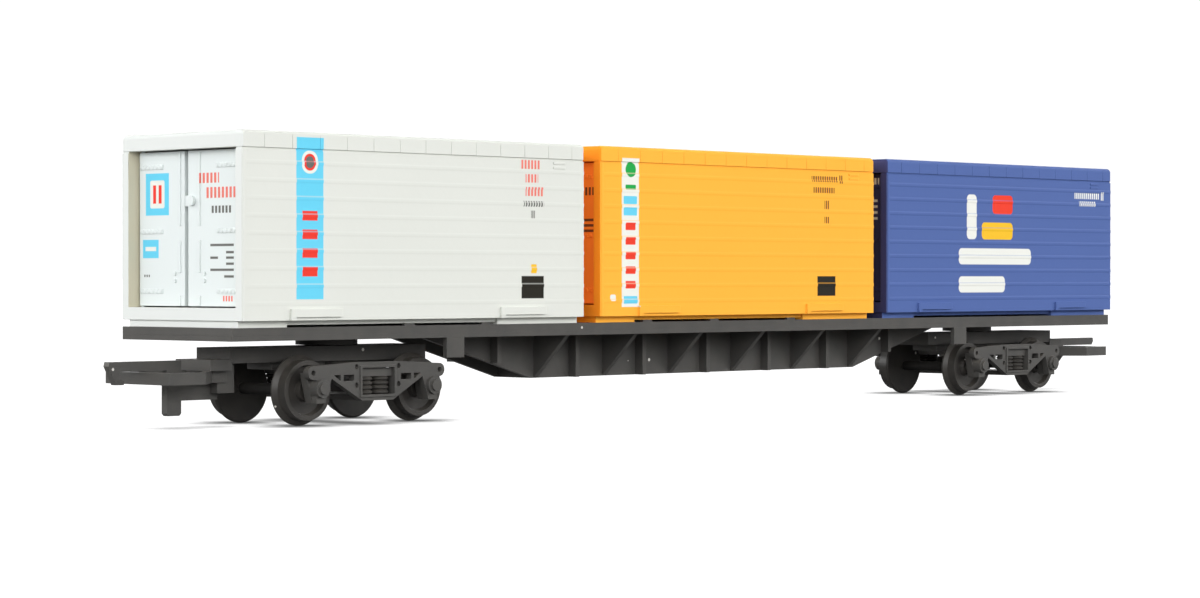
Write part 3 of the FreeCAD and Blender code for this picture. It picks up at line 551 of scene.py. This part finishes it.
# ------------------------------------------------------------------ operators
class WAGON_OT_containers(bpy.types.Operator):
    """Give each container its plastic and its prints"""

    bl_idname = "wagon.containers"
    bl_label = "Containers"

    def execute(self, context):
        colours = context.scene.wagon_colours
        for name in CONTAINERS:
            colour, end_lighting_colour = getattr(colours, name), getattr(colours, name + "_end")
            end_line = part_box(f"{name}_container_shell")[0][0] + END_DEPTH * MM
            # walls and plinths take painted light and shade at the door end
            walls = plastic(f"{name} walls", colour, gloss=BOX_GLOSS, end_lighting_colour=end_lighting_colour,
                            end_line=end_line, softening=SOFTENING[name],
                            recess=getattr(colours, name + "_recess", None))
            add_prints(walls, name, "Side", SIDE_PRINTS[name])
            plinth = plastic(f"{name} plinth", colour, gloss=BOX_GLOSS,
                             end_lighting_colour=end_lighting_colour, end_line=end_line)
            # the orange doors' colour is a painted shade, and the blue doors take the blue
            # end's painted shade
            doors = plastic(f"{name} doors", getattr(colours, name + "_door", end_lighting_colour),
                            gloss=BOX_GLOSS, glow=DOOR_PAINTED_GLOW.get(name, 0.0))
            add_prints(doors, name, "Door", DOOR_PRINTS[name])
            for part, material in (("shell", walls), ("roof", walls), ("plinth", plinth),
                                   ("door_near", doors), ("door_far", doors)):
                paint(f"{name}_container_{part}", material)
        return {"FINISHED"}


class WAGON_OT_running_gear(bpy.types.Operator):
    """Give the deck, the underframe, the bogies and the wheels their black plastic"""

    bl_idname = "wagon.running_gear"
    bl_label = "Running gear"

    def execute(self, context):
        colours = context.scene.wagon_colours
        underframe = self.dusty_plastic("underframe", colours.black, colours)
        wheels = self.dusty_plastic("wheels", colours.wheel, colours)
        self.dull_axle(wheels)
        springs = self.dusty_plastic("springs", colours.wheel, colours)
        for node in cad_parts:
            if node.startswith("wheelset"):
                paint(node, wheels)
            elif "springs" in node:
                paint(node, springs)
            elif "container" not in node:
                paint(node, underframe)
        return {"FINISHED"}

    def dusty_plastic(self, name, colour, colours):
        """Black plastic with worn edges that also carry a painted edge highlight, dust and a
        few specks.
        """
        roughness, drift, gloss, level, edge_wear_and_sheen = BLACK_FINISHES[name]
        material = plastic(name, colour, roughness, drift, gloss=gloss)
        tree = material.node_tree
        skin = skin_of(material)
        # worn edges lightened, partly as a painted edge highlight
        rubbed = mix(tree, math_node(tree, "MULTIPLY", skin.outputs["On Edge"], edge_wear_and_sheen),
                     skin.outputs["Colour"], (*colours.rubbed, 1))
        film = place_group(tree, shared(dust_film), Under=rubbed,
                           Dust=(*colours.dust, 1), Level=level)
        link(tree, film.outputs["Colour"], tree.nodes["Principled BSDF"], "Base Color")
        return material

    def dull_axle(self, material):
        """The axle between the wheels is duller than they are, and darker with painted shade.
        """
        tree = material.node_tree
        shader = tree.nodes["Principled BSDF"]
        skin = skin_of(material)
        across = split(tree, tree.nodes.new("ShaderNodeTexCoord").outputs["Object"])["Y"]
        inside = math_node(tree, "LESS_THAN", math_node(tree, "ABSOLUTE", across),
                           AXLE_HALF * MM)
        link(tree, math_node(tree, "MULTIPLY_ADD", inside, AXLE_DULLNESS,
                             skin.outputs["Roughness"]), shader, "Roughness")
        colour = shader.inputs["Base Color"].links[0].from_socket
        # painted shade on the axle
        shaded_axle_colour = mix(tree, math_node(tree, "MULTIPLY", inside, AXLE_PAINTED_SHADE), colour,
                   (0, 0, 0, 1))
        link(tree, shaded_axle_colour, shader, "Base Color")


class WAGON_OT_door_rivets(bpy.types.Operator):
    """Set a row of small rivets on each strap of the doors"""

    bl_idname = "wagon.door_rivets"
    bl_label = "Door rivets"

    def execute(self, context):
        sizes = context.scene.rivet_sizes
        rows = self.rivet_rows()
        for name in CONTAINERS:
            for door, side in DOORS.items():
                self.leaf(context, rows, sizes, name, door, side)
        return {"FINISHED"}

    def leaf(self, context, rows, sizes, name, door, side):
        """One leaf's rivets, along the middle lines of its three straps."""
        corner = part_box(f"{name}_container_shell")[0]
        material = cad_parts[f"{name}_container_door_{door}"].data.materials[0]
        x = corner[0] + STRAP_FRONT * MM
        points, lines = [], []
        for level in STRAP_LEVELS:
            z = corner[2] + level * MM
            lines.append((len(points), len(points) + 1))
            points += [(x, side * sizes.start, z), (x, side * sizes.end, z)]
        mesh = bpy.data.meshes.new("strap lines")
        mesh.from_pydata(points, lines, [])
        maker = bpy.data.objects.new("strap lines", mesh)
        context.scene.collection.objects.link(maker)
        modifier = maker.modifiers.new("rivets", "NODES")
        modifier.node_group = rows
        sockets = {s.name: s.identifier for s in rows.interface.items_tree
                   if s.item_type == "SOCKET" and s.in_out == "INPUT"}
        for key, value in (("Count", sizes.count), ("Radius", sizes.radius),
                           ("Height", sizes.height), ("Material", material)):
            modifier[sockets[key]] = value
        depsgraph = context.evaluated_depsgraph_get()
        made = bpy.data.meshes.new_from_object(maker.evaluated_get(depsgraph))
        bpy.data.objects.remove(maker)
        made.name = f"{name}_door_{door}_rivets"
        rivets = bpy.data.objects.new(made.name, made)
        context.scene.collection.objects.link(rivets)
        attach(rivets, f"{name}_door_{door}")

    def rivet_rows(self):
        """Rivet heads in rows along the edges of a mesh, flattened along X."""
        group, start, end = new_group(
            "Rivet Rows",
            (("Geometry", "Geometry"), ("Count", "Int", 6), ("Radius", "Float", 0.36 * MM),
             ("Height", "Float", 0.13 * MM), ("Material", "Material")),
            (("Geometry", "Geometry"),), "GeometryNodeTree")
        curve = group.nodes.new("GeometryNodeMeshToCurve")
        spaced = group.nodes.new("GeometryNodeResampleCurve")
        head = group.nodes.new("GeometryNodeMeshUVSphere")
        for key, value in (("Segments", 10), ("Rings", 6), ("Radius", 1.0)):
            head.inputs[key].default_value = value
        size = group.nodes.new("ShaderNodeCombineXYZ")
        link(group, start.outputs["Height"], size, "X")
        for axis in "YZ":
            link(group, start.outputs["Radius"], size, axis)
        rivets = group.nodes.new("GeometryNodeInstanceOnPoints")
        real = group.nodes.new("GeometryNodeRealizeInstances")
        painted = group.nodes.new("GeometryNodeSetMaterial")
        for output, node, key in (
                (start.outputs["Geometry"], curve, "Mesh"),
                (curve.outputs["Curve"], spaced, "Curve"),
                (start.outputs["Count"], spaced, "Count"),
                (spaced.outputs["Curve"], rivets, "Points"),
                (head.outputs["Mesh"], rivets, "Instance"),
                (size.outputs[0], rivets, "Scale"),
                (rivets.outputs["Instances"], real, "Geometry"),
                (real.outputs["Geometry"], painted, "Geometry"),
                (start.outputs["Material"], painted, "Material"),
                (painted.outputs["Geometry"], end, "Geometry")):
            link(group, output, node, key)
        return group


class WAGON_OT_stage(bpy.types.Operator):
    """Set the pale floor, the soft light and the camera"""

    bl_idname = "wagon.stage"
    bl_label = "Stage"

    def execute(self, context):
        stage = context.scene.wagon_stage
        self.floor(context, stage)
        self.light_tent(context, stage)
        self.camera(context, stage)
        return {"FINISHED"}

    def floor(self, context, stage):
        """A pale floor that shows shade only close to what stands on it."""
        material = bpy.data.materials.new("white floor")
        material.use_nodes = True
        tree = material.node_tree
        shader = tree.nodes["Principled BSDF"]
        shader.inputs["Base Color"].default_value = (*[stage.floor_tone] * 3, 1)
        shader.inputs["Roughness"].default_value = 0.7
        shader.inputs["Specular IOR Level"].default_value = 0.0
        shader.inputs["Emission Color"].default_value = (1, 1, 1, 1)
        seen = tree.nodes.new("ShaderNodeLightPath").outputs["Is Camera Ray"]
        contact = tree.nodes.new("ShaderNodeAmbientOcclusion")
        contact.inputs["Distance"].default_value = stage.contact_reach
        glow = math_node(tree, "MULTIPLY", seen, stage.floor_glow)
        clear = math_node(tree, "POWER", contact.outputs["AO"], stage.contact_depth)
        link(tree, math_node(tree, "MULTIPLY", glow, clear), shader, "Emission Strength")
        mesh = bpy.data.meshes.new("floor")
        reach = stage.floor_reach
        mesh.from_pydata([(-reach, -reach, 0), (reach, -reach, 0), (reach, reach, 0),
                          (-reach, reach, 0)], [], [(0, 1, 2, 3)])
        mesh.materials.append(material)
        floor = bpy.data.objects.new("floor", mesh)
        context.scene.collection.objects.link(floor)

    def light_tent(self, context, stage):
        """Dim at its foot and overhead, bright all round, and white to the camera."""
        world = bpy.data.worlds.new("light tent")
        world.use_nodes = True
        tree = world.node_tree
        height = split(tree, tree.nodes.new("ShaderNodeTexCoord").outputs["Generated"])["Z"]
        full, fades, ends = stage.sky_steps
        rise = math_node(tree, "DIVIDE", height, full, clamp=True)
        tent = math_node(tree, "MULTIPLY_ADD", rise, stage.sky_high - stage.sky_low,
                         stage.sky_low)
        fall = math_node(tree, "DIVIDE", math_node(tree, "SUBTRACT", height, fades),
                         ends - fades, clamp=True)
        tent = math_node(tree, "MULTIPLY_ADD", fall,
                         math_node(tree, "SUBTRACT", stage.sky_top, tent), tent)
        seen = tree.nodes.new("ShaderNodeLightPath").outputs["Is Camera Ray"]
        strength = math_node(tree, "MULTIPLY_ADD", seen,
                             math_node(tree, "SUBTRACT", stage.backdrop, tent), tent)
        background = tree.nodes["Background"]
        background.inputs["Color"].default_value = (1, 1, 1, 1)
        link(tree, strength, background, "Strength")
        context.scene.world = world

    def camera(self, context, stage):
        """A camera at half the wagon's height, off the near corner of its door end."""
        lens = bpy.data.cameras.new("camera")
        lens.lens, lens.sensor_width = stage.camera_lens, 36
        lens.clip_start, lens.clip_end = 0.01, 100
        camera = bpy.data.objects.new("camera", lens)
        camera.location = stage.camera_place
        heading, tilt = stage.camera_heading, stage.camera_tilt
        aim = Vector((math.cos(heading) * math.cos(tilt), math.sin(heading) * math.cos(tilt),
                      math.sin(tilt)))
        camera.rotation_euler = aim.to_track_quat("-Z", "Y").to_euler()
        context.scene.collection.objects.link(camera)
        context.scene.camera = camera
        context.scene.view_settings.view_transform = "Standard"


class WAGON_PT_panel(bpy.types.Panel):
    """Lists the wagon's sizes, colours and steps"""

    bl_idname = "WAGON_PT_panel"
    bl_label = "Wagon"
    bl_space_type = "VIEW_3D"
    bl_region_type = "UI"
    bl_category = "Wagon"

    def draw(self, context):
        for group in GROUPS:
            settings = getattr(context.scene, group)
            for name in settings.__annotations__:
                self.layout.prop(settings, name)
        for step in STEPS:
            self.layout.operator(step.bl_idname)


STEPS = (WAGON_OT_containers, WAGON_OT_running_gear, WAGON_OT_door_rivets, WAGON_OT_stage)
GROUPS = {"wagon_colours": WagonColours, "print_inks": PrintInks,
          "rivet_sizes": RivetSizes, "wagon_stage": StageSettings}


def register():
    for cls in (*GROUPS.values(), *STEPS, WAGON_PT_panel):
        bpy.utils.register_class(cls)
    for name, cls in GROUPS.items():
        setattr(bpy.types.Scene, name, bpy.props.PointerProperty(type=cls))


def unregister():
    for name in GROUPS:
        delattr(bpy.types.Scene, name)
    for cls in reversed((*GROUPS.values(), *STEPS, WAGON_PT_panel)):
        bpy.utils.unregister_class(cls)


def main():
    register()
    for step in STEPS:
        area, name = step.bl_idname.split(".")
        getattr(getattr(bpy.ops, area), name)()


if __name__ == "__main__":
    main()
